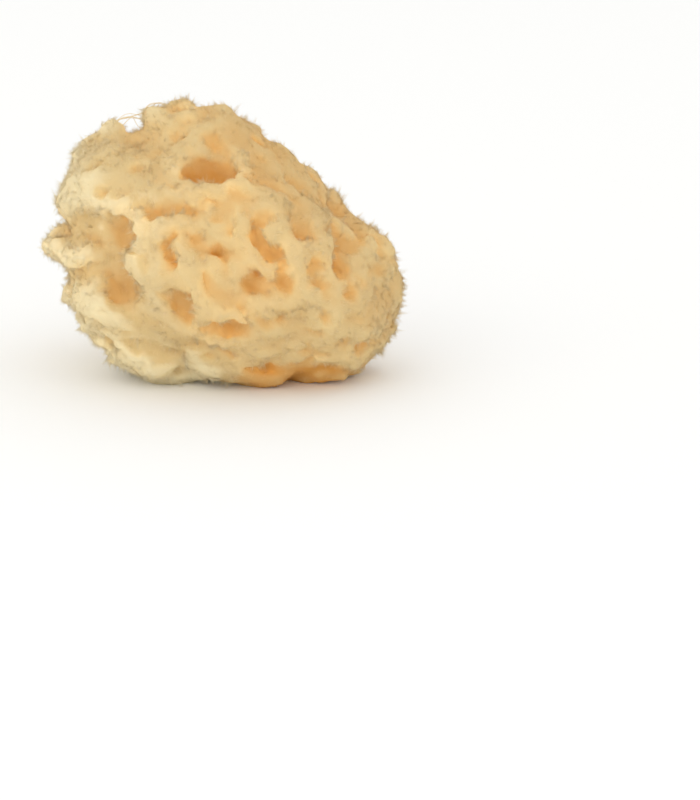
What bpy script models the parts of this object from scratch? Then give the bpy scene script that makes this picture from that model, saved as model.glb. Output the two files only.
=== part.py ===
"""A natural honeycomb bath sponge: one dried sea sponge, cut flat where it grew on the rock.

The values are in millimetres and become metres where a mesh is made. +Z is up, the front faces -Y, and the
origin is the middle of the flat foot.
"""

import math
import random

import bmesh
import bpy
import numpy as np
from mathutils import Matrix, Vector
from mathutils.bvhtree import BVHTree

MM = 0.001

# The front is described as it is seen by someone who looks down on the sponge by this angle, from this far
# away and this much above its foot.
LOOK_DOWN = math.radians(12)
EYE_DISTANCE = 700
EYE_UP = 40
SIGHT = Vector((0, math.cos(LOOK_DOWN), -math.sin(LOOK_DOWN)))
SIGHT_UP = Vector((0, math.sin(LOOK_DOWN), math.cos(LOOK_DOWN)))
EYE = SIGHT_UP * EYE_UP - SIGHT * EYE_DISTANCE

# Each lobe of the living sponge swelled out on its own: middle, half sizes, and lean to the right in degrees.
LOBES = {
    "heart": ((-6, -2, 36), (41, 35, 40), 0),
    "front_bulge": ((8, -22, 34), (34, 18, 26.5), 0),
    "right_shoulder": ((25.5, -6, 25.5), (28.5, 30, 26), 0),
    "right_bump": ((43.6, -4, 39.8), (7.6, 12, 7.4), 0),
    "right_slope": ((14.0, 3, 50.3), (31.6, 22, 17.4), 43),
    "crown_left": ((-14.5, 3, 64.5), (12.3, 19, 17.6), 0),
    "crown_right": ((-3.8, -1, 63), (13.6, 20, 19.2), 0),
    "crown_tip": ((-10.6, 0, 79.4), (5.6, 8, 6.0), 0),
    "crown_ear": ((-21.4, 1, 77.2), (5.4, 6, 3.6), -20),
    "knob": ((-35.3, 6, 73), (4.3, 6, 5.6), 0),
    "upper_left": ((-35.5, 5, 60.5), (14.4, 21, 12), -8),
    "middle_left": ((-34.8, 1, 53.4), (16.6, 23, 6.8), 8),
    "left_tongue": ((-37.5, -4, 40.4), (17.2, 23, 5.7), -3),
    "lower_left": ((-29, -6, 25.6), (19.2, 25, 14.8), 0),
    "foot": ((4, -4, 9.5), (37, 26.5, 12.5), 0),
    "left_nib": ((-47.4, -6, 25.6), (5, 6, 4.0), 0),
    "left_heel": ((-25.5, -6, 12), (13.4, 18, 10), 10),
    "right_foot": ((30, -7, 14), (19, 22, 14), 0),
    "back_bulge": ((-4, 22, 34), (32, 20, 28), 0),
    "back_left": ((-27, 15, 44), (20, 18, 20), 15),
}

# The hollows that show in front: across and up from the foot's middle as seen, half width, half height,
# depth, turn in degrees, and how far it slants across and up as it goes in.
FRONT_HOLLOWS = {
    "mouth": (-4.4, 62.4, 10.0, 4.9, 8.0, 4, 0.2, -0.2),
    "mouth_corner": (1.6, 63.4, 3.6, 4.4, 6.0, 0, 0.2, -0.1),
    "mouth_roof": (-1.6, 73.0, 5.0, 6.0, 3.0, 0, 0.2, -0.1),
    "mouth_lip": (-9.0, 57.6, 5.5, 1.8, 2.0, -8, 0, -0.3),
    "crown_fold": (-16.5, 73.6, 4.4, 2.4, 2.4, 12, 0, 0.2),
    "crown_nick": (-14.0, 77.8, 4.2, 1.7, 1.8, 5, 0, 0.2),
    "crown_wave": (-9.5, 71.0, 3.4, 4.6, 1.8, 25, 0.3, 0),
    "left_eye": (-39.0, 56.0, 2.3, 3.0, 2.8, 0, 0.3, 0),
    "left_fold": (-41.5, 64.6, 4.6, 2.0, 2.4, 10, 0, 0.3),
    "left_light": (-28.2, 62.6, 3.0, 2.6, 3.0, 0, 0.2, 0.2),
    "left_crease": (-23.4, 67.4, 4.2, 1.5, 1.9, 25, 0, 0.3),
    "left_wave": (-33.5, 68.5, 4.6, 1.4, 1.6, 15, 0, 0.3),
    "brow_fold": (-18.2, 49.4, 9.6, 4.2, 4.2, 5, 0.1, -0.05),
    "brow_drop": (-23.8, 46.6, 3.0, 4.6, 3.8, -30, 0.1, -0.1),
    "brow_band": (-10.5, 54.0, 7.0, 1.6, 1.6, -6, 0, -0.3),
    "temple": (-16.4, 56.2, 1.7, 2.2, 2.6, 10, 0.2, 0),
    "cheek_left": (-34.4, 42.6, 7.2, 5.8, 5.2, 8, 0.2, 0.05),
    "cheek_groove": (-43.0, 42.2, 5.2, 1.9, 2.6, -20, 0.3, 0),
    "left_gap": (-38.8, 39.8, 1.6, 0.6, 3.0, -10, 0, 0),
    "left_hook": (-41.6, 35.8, 1.7, 3.2, 3.0, 25, 0.3, 0),
    "jaw": (-37.0, 33.0, 4.6, 3.8, 3.0, 0, 0.3, 0.1),
    "cheek_low": (-33.2, 25.4, 5.6, 5.6, 5.2, 20, 0.5, 0.1),
    "left_nick": (-28.2, 35.2, 3.4, 1.8, 2.6, 0, 0, 0.3),
    "left_seam": (-26.6, 30.4, 1.5, 3.6, 2.0, 0, 0.2, 0),
    "ring_top": (-16.6, 43.8, 3.0, 1.6, 2.6, 6, 0, 0.2),
    "ring_upper": (-16.6, 40.4, 3.0, 2.2, 3.2, 0, 0, 0),
    "ring_lower": (-16.8, 34.0, 3.2, 3.8, 4.0, 10, 0, 0),
    "ring_side": (-13.0, 30.6, 2.2, 1.9, 3.0, 15, 0.2, 0),
    "ring_shade": (-10.2, 41.4, 2.6, 1.8, 1.8, -20, 0, 0),
    "dimple": (-2.4, 35.5, 3.1, 2.2, 3.8, -10, -0.1, -0.1),
    "dimple_side": (1.8, 37.6, 2.4, 2.0, 1.6, 20, 0, 0),
    "tall_oval": (-6.4, 29.2, 3.5, 5.6, 2.0, -4, 0, 0),
    "glabella": (-2.2, 47.6, 1.7, 2.2, 2.2, 0, 0, -0.1),
    "bridge_nick": (-1.2, 52.6, 1.8, 2.2, 1.5, 10, 0, 0),
    "small_slit": (1.8, 43.8, 1.1, 2.1, 2.6, 0, 0, 0),
    "soft_centre": (1.5, 30.5, 3.6, 4.2, 1.6, 0, 0, 0),
    "shade_top": (9.2, 45.0, 3.0, 2.0, 4.4, 8, -0.1, 0.2),
    "shade_shelf": (13.0, 48.8, 3.8, 2.3, 2.8, 18, 0, -0.2),
    "shelf_dent": (6.6, 54.4, 2.6, 1.9, 1.4, -15, 0, 0),
    "web_left": (9.8, 38.8, 3.8, 6.0, 4.6, 22, 0.2, 0),
    "web_middle": (14.6, 35.2, 3.9, 2.9, 5.2, 15, 0.1, -0.1),
    "web_low": (18.8, 32.8, 1.8, 2.2, 3.4, 30, 0.1, -0.2),
    "web_top": (17.4, 38.8, 3.0, 1.7, 3.2, 35, 0, 0.2),
    "slant": (24.4, 40.6, 4.6, 4.4, 3.4, 30, 0, 0.1),
    "slant_shade": (23.8, 44.6, 3.2, 1.6, 1.3, -10, 0, 0.1),
    "big_right": (37.4, 41.0, 7.4, 5.2, 5.4, 0, 0, 0.1),
    "right_tail": (36.9, 33.2, 4.2, 5.0, 4.0, 8, 0, 0),
    "round_right": (28.7, 33.5, 4.0, 3.7, 3.2, 0, 0, 0),
    "round_left": (10.2, 26.2, 3.6, 3.9, 4.6, 0, -0.35, 0),
    "round_pit": (10.6, 28.8, 1.9, 1.5, 6.4, 20, 0, 0.1),
    "round_twin": (17.6, 26.4, 3.2, 3.3, 3.6, 0, 0.2, -0.1),
    "round_bud": (16.8, 30.0, 1.4, 1.6, 4.2, 0, 0, 0),
    "shelf_crease": (18.5, 21.2, 4.4, 1.1, 2.2, 8, 0, 0.3),
    "shelf_crease_end": (25.4, 23.6, 3.0, 1.0, 2.0, 42, 0, 0.3),
    "tan_right": (30.4, 25.9, 4.6, 3.2, 2.7, 22, 0, 0.1),
    "far_right": (40.2, 23.2, 2.3, 2.6, 3.2, 0, 0, 0.2),
    "far_soft": (43.0, 28.8, 3.0, 2.8, 1.9, 0, 0, 0),
    "bump_dent": (44.4, 42.2, 1.7, 2.6, 1.8, 0, 0, 0),
    "edge_right": (50.0, 32.0, 2.0, 3.4, 2.2, 0, 0, 0),
    "slot_left": (-13.4, 18.4, 4.6, 4.9, 5.0, 22, 0.1, 0.1),
    "slot_notch": (-18.0, 21.8, 2.4, 1.5, 3.4, -20, 0.3, 0),
    "slot": (-0.2, 11.4, 9.8, 3.7, 4.8, 2, 0, 0),
    "slot_end": (-8.6, 11.4, 2.4, 1.4, 2.4, 0, 0.2, 0),
    "pin": (18.3, 15.6, 1.3, 2.0, 3.4, 0, 0, 0),
    "chip": (13.4, 13.6, 3.6, 1.9, 2.2, 20, 0, 0.2),
    "soft_low": (6.0, 20.0, 2.4, 4.2, 1.5, 0, 0, 0),
    "low_right": (32.6, 14.4, 2.6, 3.2, 2.8, 10, 0, 0.3),
    "low_groove": (28.6, 9.8, 3.6, 1.5, 2.0, 0, 0, 0.2),
    "low_gully": (28.0, 5.0, 3.8, 3.0, 2.2, -20, 0, 0.2),
    "low_furrow": (38.0, 5.4, 1.9, 4.0, 2.4, 0, 0.2, 0),
    "low_far": (45.0, 12.8, 3.0, 2.2, 2.0, 0, 0, 0.2),
    "far_furrow": (49.0, 16.4, 1.7, 4.0, 2.2, -8, 0, 0),
    "chin_pit": (-0.6, 4.0, 2.6, 1.5, 2.6, 0, 0, 0.2),
    "chin_line": (-7.6, 1.6, 4.6, 1.3, 1.8, 8, 0, 0.3),
    "chin_soft": (-16.0, 3.4, 3.4, 2.0, 1.8, 20, 0, 0.2),
    "heel_left": (-29.6, 5.0, 2.2, 2.6, 2.2, 0, 0, 0.2),
    "heel_pit": (-31.2, 9.2, 2.0, 1.5, 2.2, 0, 0, 0.2),
    "left_dot": (-24.6, 14.2, 3.4, 1.4, 1.5, -15, 0, 0.2),
    "left_dash": (-39.6, 17.0, 2.8, 1.3, 1.8, 0, 0, 0.3),
    "under_left": (8.2, -2.8, 3.2, 2.2, 4.4, 0, 0, 0.3),
    "under_middle": (14.8, -1.6, 3.8, 2.4, 4.4, 0, 0, 0.3),
    "under_right": (24.4, 0.0, 5.6, 2.4, 4.0, 8, 0, 0.3),
    "slope_shelf": (22.4, 58.2, 4.2, 2.0, 2.8, -15, 0, -0.3),
    "slope_dent": (35.2, 50.2, 6.0, 3.2, 3.6, 5, -0.1, 0),
    "slope_dot": (12.0, 66.2, 1.8, 1.2, 2.0, -30, 0, 0),
    "slope_crease": (9.6, 59.8, 5.6, 1.4, 1.8, -6, 0, -0.3),
}

# The ridges grown across and between them: half width, then the points across and up that each runs through.
RIDGES = {
    "arch": (1.5, ((-23.4, 35.5), (-22.7, 41.4), (-19.6, 45.2), (-14.9, 46.6), (-10.8, 46.2), (-7.6, 44.0))),
    "bar": (2.0, ((-13.4, 41.6), (-12.4, 37.4), (-10.2, 33.0), (-9.4, 27.0))),
    "oval_rim": (0.7, ((-8.9, 31.0), (-8.4, 33.9), (-5.8, 34.9), (-3.2, 33.6), (-2.4, 28.6))),
    "cheek_rim": (1.3, ((-34.5, 49.6), (-29.2, 48.8), (-26.4, 45.0), (-26.2, 40.6), (-27.8, 37.0))),
    "nose": (1.3, ((4.4, 51.0), (4.8, 45.6), (5.8, 40.4), (8.4, 35.2), (11.8, 31.8), (14.2, 28.8))),
    "web_tongue": (1.9, ((18.8, 46.2), (17.0, 43.0), (15.2, 41.0))),
    "web_side": (1.3, ((18.8, 44.0), (20.8, 39.6), (23.4, 36.2), (24.8, 32.4))),
    "slant_side": (1.7, ((28.6, 46.4), (30.0, 41.6), (31.2, 37.6), (32.4, 32.6))),
    "right_rim": (1.2, ((45.6, 44.4), (46.0, 40.0), (44.6, 35.0), (42.6, 29.6))),
    "round_rim": (0.8, ((25.0, 35.4), (26.6, 37.8), (30.0, 38.2), (32.2, 35.4))),
    "brow": (1.3, ((-35.0, 51.6), (-27.5, 53.6), (-20.4, 55.4), (-15.3, 54.8), (-9.4, 52.4))),
    "lip": (1.2, ((-15.0, 57.4), (-7.0, 56.0), (-1.0, 56.4), (4.4, 58.6))),
    "mouth_side": (1.2, ((4.6, 69.0), (6.2, 64.4), (5.4, 59.6))),
    "shelf": (2.2, ((9.0, 19.6), (15.0, 18.8), (21.4, 19.4), (26.6, 22.2), (31.0, 22.6))),
    "slot_bridge": (1.2, ((-8.2, 22.6), (-7.6, 17.4), (-9.8, 12.4))),
    "slot_roof": (0.9, ((-8.4, 15.8), (-2.0, 16.4), (4.0, 15.6), (9.4, 13.4))),
    "slot_sill": (0.8, ((-8.0, 7.4), (0.0, 6.7), (8.0, 7.2))),
}
RIDGE_SUNK = 1.1
RIDGE_TAPER = 0.6

# The sides, back and top have the same honeycomb, spread evenly from the middle of the sponge.
SPREAD_FROM = Vector((0, 0, 36))
SPREAD_COUNT = 210
SPREAD_SEED = 11
SPREAD_HALF_WIDTH = (2.5, 5.0)
SPREAD_STRETCH = (0.75, 1.5)
SPREAD_DEPTH = (0.9, 1.7)
WALL_LEAST = 0.9
SPREAD_LEAN = 0.35
FAR_OUT = 200

# A spread hollow that would turn this far to the front is left out, near the outline it is smaller, and so it
# is where its neighbours leave less room, down to a least share of its size.
FRONT_FACING = 0.5
EDGE_FACING = 0.2
EDGE_SHARE = 0.55
LEAST_SHARE = 0.55

# The middle of the foot has no hollow, so that the sponge rests on a whole face.
HEEL_SPOT = 9.0
HEEL_UP = 6

# A front hollow goes in between the line of sight and the skin's own way in. A hollow's egg shape lies this
# share of its depth under the skin.
SIGHT_WEIGHT = 1.6
EGG_SUNK = 0.25

# The fuzz that covers every lobe, which the solid reaches to the tips of.
FUZZ = 1.0

# Easing the carved skin narrows every hollow, so each is cut this much wider all round.
EASED_AWAY = 0.55

# How finely each step is worked: the fused lobes, the hollows, the ridges, and the carved sponge.
BODY_GRAIN = 1.7
HOLLOW_GRAIN = 1.0
CARVED_GRAIN = 1.2
LOBE_DETAIL = 4
HOLLOW_DETAIL = 3
RIDGE_DETAIL = 2
BODY_ROUNDS = 6
CARVED_ROUNDS = 2
TRIANGLES = 9300

FOOT_LEVEL = 0.0
ROCK_HALF_SIDE = 90


def unit_ball(detail):
    """The corners and faces of a ball of radius 1."""
    ball = bmesh.new()
    bmesh.ops.create_icosphere(ball, subdivisions=detail, radius=1)
    corners = np.array([v.co[:] for v in ball.verts])
    faces = [[v.index for v in face.verts] for face in ball.faces]
    ball.free()
    return corners, faces


def swell(points):
    """How far each point of the lobes is pushed: long, uneven waves, as the sponge grew."""
    x, y, z = points.T
    return np.stack(
        (
            1.5 * np.sin(0.19 * y + 0.11 * z + 0.4) + 0.9 * np.sin(0.43 * z - 0.2 * y + 1.0),
            1.7 * np.sin(0.16 * x + 0.13 * z + 2.1) + 0.8 * np.sin(0.41 * x + 0.23 * z),
            1.2 * np.sin(0.21 * x - 0.12 * y + 0.7) + 0.9 * np.sin(0.37 * y + 0.31 * x + 2.6),
        ),
        axis=1,
    )


def wobble(points):
    """The short waves that keep a hollow from being a true egg shape."""
    x, y, z = points.T
    return np.stack(
        (
            0.55 * np.sin(0.9 * y + 0.5 * z) + 0.3 * np.sin(1.7 * z + 0.8),
            0.55 * np.sin(0.8 * z + 0.6 * x + 1.3) + 0.3 * np.sin(1.6 * x),
            0.55 * np.sin(1.0 * x - 0.4 * y + 2.2) + 0.3 * np.sin(1.8 * y + 0.5),
        ),
        axis=1,
    )


def mesh_object(name, corners, faces):
    """A mesh of these corners in millimetres, as an object in the scene."""
    mesh = bpy.data.meshes.new(name)
    mesh.from_pydata((np.asarray(corners) * MM).tolist(), [], faces)
    obj = bpy.data.objects.new(name, mesh)
    bpy.context.scene.collection.objects.link(obj)
    return obj


def add_remesh(obj, grain):
    """One closed skin around whatever the mesh holds, on a grid of this size."""
    remesh = obj.modifiers.new("fuse", "REMESH")
    remesh.mode = "VOXEL"
    remesh.voxel_size = grain * MM
    return remesh


def add_smooth(obj, rounds):
    """Eases the grid's steps away."""
    smooth = obj.modifiers.new("ease", "SMOOTH")
    smooth.factor = 0.5
    smooth.iterations = rounds
    return smooth


def shaped(obj):
    """The corners in millimetres, and the faces, of the object with its modifiers."""
    graph = bpy.context.evaluated_depsgraph_get()
    mesh = obj.evaluated_get(graph).to_mesh()
    corners = np.array([v.co[:] for v in mesh.vertices]) / MM
    faces = [list(face.vertices) for face in mesh.polygons]
    return corners, faces


def remove(*objects):
    """Takes helper objects out of the scene."""
    for obj in objects:
        bpy.data.objects.remove(obj)


def fused_lobes():
    """The sponge before its hollows: every lobe grown into the next."""
    ball, ball_faces = unit_ball(LOBE_DETAIL)
    corners = []
    faces = []
    for middle, half_sizes, lean in LOBES.values():
        turn = np.array(Matrix.Rotation(math.radians(lean), 3, "Y"))
        faces += [[i + len(ball) * len(corners) for i in face] for face in ball_faces]
        corners.append((ball * (np.array(half_sizes) + FUZZ)) @ turn.T + middle)
    lobes = mesh_object("lobes", np.concatenate(corners), faces)
    add_remesh(lobes, BODY_GRAIN)
    add_smooth(lobes, BODY_ROUNDS)
    corners, faces = shaped(lobes)
    remove(lobes)
    return corners + swell(corners), faces


def hollow_frame(inward, turn):
    """Axes of a hollow: its width, its height and the way it goes in, turned about that way."""
    width = Vector((0, 0, 1)).cross(inward)
    if width.length < 0.1:
        width = Vector((1, 0, 0))
    height = inward.cross(width).normalized()
    width = height.cross(inward).normalized()
    spin = Matrix.Rotation(turn, 3, inward)
    return np.array([spin @ width, spin @ height, inward])


def front_hollows(skin):
    """The hollows that the front shows, each found on the skin along the line of sight."""
    found = []
    for across, up, half_width, half_height, depth, turn, slant_across, slant_up in FRONT_HOLLOWS.values():
        line = Vector((across, 0, 0)) + SIGHT_UP * up - EYE
        hit, normal, _, _ = skin.ray_cast(EYE, line)
        slant = Vector((slant_across, 0, 0)) + SIGHT_UP * slant_up
        inward = ((SIGHT * SIGHT_WEIGHT - normal).normalized() + slant).normalized()
        axes = hollow_frame(inward, -math.radians(turn))
        found.append((hit, axes, (half_width, half_height, depth)))
    return found


def spread_hollows(skin, taken):
    """Hollows for the rest of the sponge, from evenly spread directions, where there is room for them."""
    chance = random.Random(SPREAD_SEED)
    golden_angle = math.pi * (3 - math.sqrt(5))
    found = []
    for step in range(SPREAD_COUNT):
        rise = 1 - 2 * (step + 0.5) / SPREAD_COUNT
        reach = math.sqrt(1 - rise * rise)
        angle = golden_angle * step
        half_width = chance.uniform(*SPREAD_HALF_WIDTH)
        half_height = half_width * chance.uniform(*SPREAD_STRETCH)
        depth = half_width * chance.uniform(*SPREAD_DEPTH)
        turn = chance.uniform(0, math.pi)
        lean = Vector([chance.uniform(-SPREAD_LEAN, SPREAD_LEAN) for _ in range(3)])
        outward = Vector((reach * math.cos(angle), reach * math.sin(angle), rise))
        hit, normal, _, _ = skin.ray_cast(SPREAD_FROM + outward * FAR_OUT, -outward)
        if hit is None or normal.dot(SIGHT) < -FRONT_FACING:
            continue
        if normal.dot(SIGHT) < EDGE_FACING:
            half_width, half_height, depth = (EDGE_SHARE * size for size in (half_width, half_height, depth))
        if hit.z < HEEL_UP and hit.xy.length < HEEL_SPOT + half_width:
            continue
        size = math.sqrt(half_width * half_height)
        room = [
            (hit - other).length - WALL_LEAST - math.sqrt(sizes[0] * sizes[1])
            for other, _, sizes in taken + found
        ]
        if min(room) < LEAST_SHARE * size:
            continue
        half_width *= min(1, min(room) / size)
        half_height *= min(1, min(room) / size)
        inward = (lean - normal).normalized()
        axes = hollow_frame(inward, turn)
        found.append((hit, axes, (half_width, half_height, depth)))
    return found


def hollow_shapes(hollows):
    """All the hollows as one closed shape, each an uneven egg that lies mostly under the skin."""
    ball, ball_faces = unit_ball(HOLLOW_DETAIL)
    corners = []
    faces = []
    for mouth, axes, sizes in hollows:
        faces += [[i + len(ball) * len(corners) for i in face] for face in ball_faces]
        middle = np.array(mouth) + axes[2] * EGG_SUNK * sizes[2]
        egg = (ball * (np.array(sizes) + EASED_AWAY)) @ axes + middle
        corners.append(egg + wobble(egg))
    cutters = mesh_object("hollows", np.concatenate(corners), faces)
    add_remesh(cutters, HOLLOW_GRAIN)
    corners, faces = shaped(cutters)
    remove(cutters)
    return corners, faces


def ridge_balls(skin):
    """The ridges as rows of balls that overlap, a little under the skin and thinner towards their ends."""
    ball, ball_faces = unit_ball(RIDGE_DETAIL)
    corners = []
    faces = []
    for half_width, course in RIDGES.values():
        places = []
        for across, up in course:
            line = Vector((across, 0, 0)) + SIGHT_UP * up - EYE
            hit, normal, _, _ = skin.ray_cast(EYE, line)
            places.append(hit - normal * (RIDGE_SUNK * half_width))
        lengths = np.cumsum([0] + [(b - a).length for a, b in zip(places, places[1:])])
        for way in np.arange(0, lengths[-1], half_width / 2):
            place = [np.interp(way, lengths, [point[k] for point in places]) for k in range(3)]
            middling = 1 - abs(2 * way / lengths[-1] - 1)
            radius = (half_width + FUZZ / 2) * min(1, RIDGE_TAPER + middling)
            faces += [[i + len(ball) * len(corners) for i in face] for face in ball_faces]
            egg = ball * radius + place
            corners.append(egg + wobble(egg))
    return np.concatenate(corners), faces


def largest_piece(corners, faces):
    """Only the biggest connected piece, without the crumbs that carving left loose."""
    group = np.arange(len(corners))
    edges = np.array([(face[i - 1], face[i]) for face in faces for i in range(len(face))])
    while True:
        lower = group.copy()
        np.minimum.at(lower, edges[:, 0], group[edges[:, 1]])
        np.minimum.at(lower, edges[:, 1], group[edges[:, 0]])
        lower = lower[lower]
        if (lower == group).all():
            break
        group = lower
    biggest = np.bincount(group).argmax()
    kept = np.flatnonzero(group == biggest)
    place = np.full(len(corners), -1)
    place[kept] = np.arange(len(kept))
    return corners[kept], [[int(place[i]) for i in face] for face in faces if place[face[0]] >= 0]


def carved_sponge():
    """The fused lobes with every hollow cut out, as one closed skin."""
    body_corners, body_faces = fused_lobes()
    skin = BVHTree.FromPolygons(body_corners.tolist(), body_faces)
    hollows = front_hollows(skin)
    hollows += spread_hollows(skin, hollows)
    body = mesh_object("body", body_corners, body_faces)
    cutters = mesh_object("cutters", *hollow_shapes(hollows))
    cut = body.modifiers.new("hollows", "BOOLEAN")
    cut.operation = "DIFFERENCE"
    cut.object = cutters
    corners, faces = shaped(body)
    remove(body, cutters)
    ridge_corners, ridge_faces = ridge_balls(skin)
    faces += [[i + len(corners) for i in face] for face in ridge_faces]
    carved = mesh_object("carved", np.concatenate((corners, ridge_corners)), faces)
    add_remesh(carved, CARVED_GRAIN)
    add_smooth(carved, CARVED_ROUNDS)
    corners, faces = shaped(carved)
    remove(carved)
    return largest_piece(corners, faces)


def flat_foot_cutter(half_side):
    """A block whose top is the rock that the sponge is cut from."""
    bpy.ops.mesh.primitive_cube_add(size=1)
    block = bpy.context.object
    block.name = "rock_cut"
    block.dimensions = (2 * half_side * MM, 2 * half_side * MM, half_side * MM)
    block.location.z = (FOOT_LEVEL - half_side / 2) * MM
    block.hide_render = True
    block.display_type = "WIRE"
    return block


def sponge_material():
    """Dried spongin: cream, matt, and never metallic."""
    material = bpy.data.materials.new("sponge_fibre")
    material.use_nodes = True
    shader = material.node_tree.nodes["Principled BSDF"]
    shader.inputs["Base Color"].default_value = (0.74, 0.52, 0.25, 1)
    shader.inputs["Roughness"].default_value = 0.95
    shader.inputs["Metallic"].default_value = 0
    return material


def centred(corners):
    """Moves the sponge so that the part above the cut stands over the origin."""
    above = corners[corners[:, 2] >= FOOT_LEVEL]
    middle = (above.min(axis=0) + above.max(axis=0)) / 2
    return corners - (middle[0], middle[1], 0)


def make_sponge():
    """The one piece: carved, thinned to its budget of faces, and cut off flat at the foot."""
    corners, faces = carved_sponge()
    carved = mesh_object("carved", corners, faces)
    thin = carved.modifiers.new("thin", "DECIMATE")
    thin.ratio = TRIANGLES / (2 * len(faces))
    thin.use_collapse_triangulate = True
    corners, faces = shaped(carved)
    remove(carved)
    sponge = mesh_object("sponge", centred(corners), faces)
    cut = sponge.modifiers.new("foot", "BOOLEAN")
    cut.operation = "DIFFERENCE"
    cut.object = flat_foot_cutter(ROCK_HALF_SIDE)
    sponge.data.materials.append(sponge_material())
    return sponge


for old in list(bpy.data.objects):
    bpy.data.objects.remove(old)
make_sponge()
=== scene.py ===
import math
import random

import bpy
import numpy as np
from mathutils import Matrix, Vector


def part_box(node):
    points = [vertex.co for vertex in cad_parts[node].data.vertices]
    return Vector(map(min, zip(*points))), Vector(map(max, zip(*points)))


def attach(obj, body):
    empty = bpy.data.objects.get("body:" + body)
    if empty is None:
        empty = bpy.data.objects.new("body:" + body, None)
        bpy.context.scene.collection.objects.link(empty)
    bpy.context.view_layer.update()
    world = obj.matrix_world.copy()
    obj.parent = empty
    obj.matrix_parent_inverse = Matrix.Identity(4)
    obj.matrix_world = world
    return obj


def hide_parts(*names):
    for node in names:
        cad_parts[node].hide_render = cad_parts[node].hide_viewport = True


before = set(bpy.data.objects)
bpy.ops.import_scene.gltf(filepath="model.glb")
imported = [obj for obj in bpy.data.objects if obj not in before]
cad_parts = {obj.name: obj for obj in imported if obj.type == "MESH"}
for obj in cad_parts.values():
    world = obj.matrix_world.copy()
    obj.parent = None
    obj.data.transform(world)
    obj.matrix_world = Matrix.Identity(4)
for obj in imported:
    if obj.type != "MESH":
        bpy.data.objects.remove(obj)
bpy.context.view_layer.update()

import openvdb
from mathutils import Matrix, Vector

# THE SPONGE
# A dried honeycomb bath sponge: the fibre skeleton of a sea animal, grown as one piece and cut flat from its
# rock. Lobes swelled into one another, and water carved wide hollows and small pores all over them.
# Lengths are in millimetres here and become metres where a mesh is made.

MM = 0.001

LOOK_DOWN = math.radians(12)
EYE_DISTANCE = 700
EYE_UP = 40
SIGHT = Vector((0, math.cos(LOOK_DOWN), -math.sin(LOOK_DOWN)))
SIGHT_UP = Vector((0, math.sin(LOOK_DOWN), math.cos(LOOK_DOWN)))
EYE = SIGHT_UP * EYE_UP - SIGHT * EYE_DISTANCE

# Each lobe: middle, half sizes, and lean to the right in degrees.
LOBES = {
    "heart": ((-6, -2, 36), (41, 35, 40), 0),
    "front_bulge": ((8, -22, 34), (34, 18, 26.5), 0),
    "right_shoulder": ((25.5, -6, 25.5), (28.5, 30, 26), 0),
    "right_bump": ((43.6, -4, 39.8), (7.6, 12, 7.4), 0),
    "right_slope": ((14.0, 3, 50.3), (31.6, 22, 17.4), 43),
    "crown_left": ((-14.5, 3, 64.5), (12.3, 19, 17.6), 0),
    "crown_right": ((-3.8, -1, 63), (13.6, 20, 19.2), 0),
    "crown_tip": ((-10.6, 0, 79.4), (5.6, 8, 6.0), 0),
    "crown_ear": ((-21.4, 1, 77.2), (5.4, 6, 3.6), -20),
    "knob": ((-35.3, 6, 73), (4.3, 6, 5.6), 0),
    "upper_left": ((-35.5, 5, 60.5), (14.4, 21, 12), -8),
    "middle_left": ((-34.8, 1, 53.4), (16.6, 23, 6.8), 8),
    "left_tongue": ((-37.5, -4, 40.4), (17.2, 23, 5.7), -3),
    "lower_left": ((-29, -6, 25.6), (19.2, 25, 14.8), 0),
    "foot": ((4, -4, 9.5), (37, 26.5, 12.5), 0),
    "left_nib": ((-47.4, -6, 25.6), (5, 6, 4.0), 0),
    "left_heel": ((-25.5, -6, 12), (13.4, 18, 10), 10),
    "right_foot": ((30, -7, 14), (19, 22, 14), 0),
    "back_bulge": ((-4, 22, 34), (32, 20, 28), 0),
    "back_left": ((-27, 15, 44), (20, 18, 20), 15),
}

# The solid reaches to the tips of the fuzz, so the lobes are this much bigger, and the skin lies this far in.
FUZZ = 1.0
SKIN_BELOW = 1.2
LOBE_BLEND = 4.0

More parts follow.
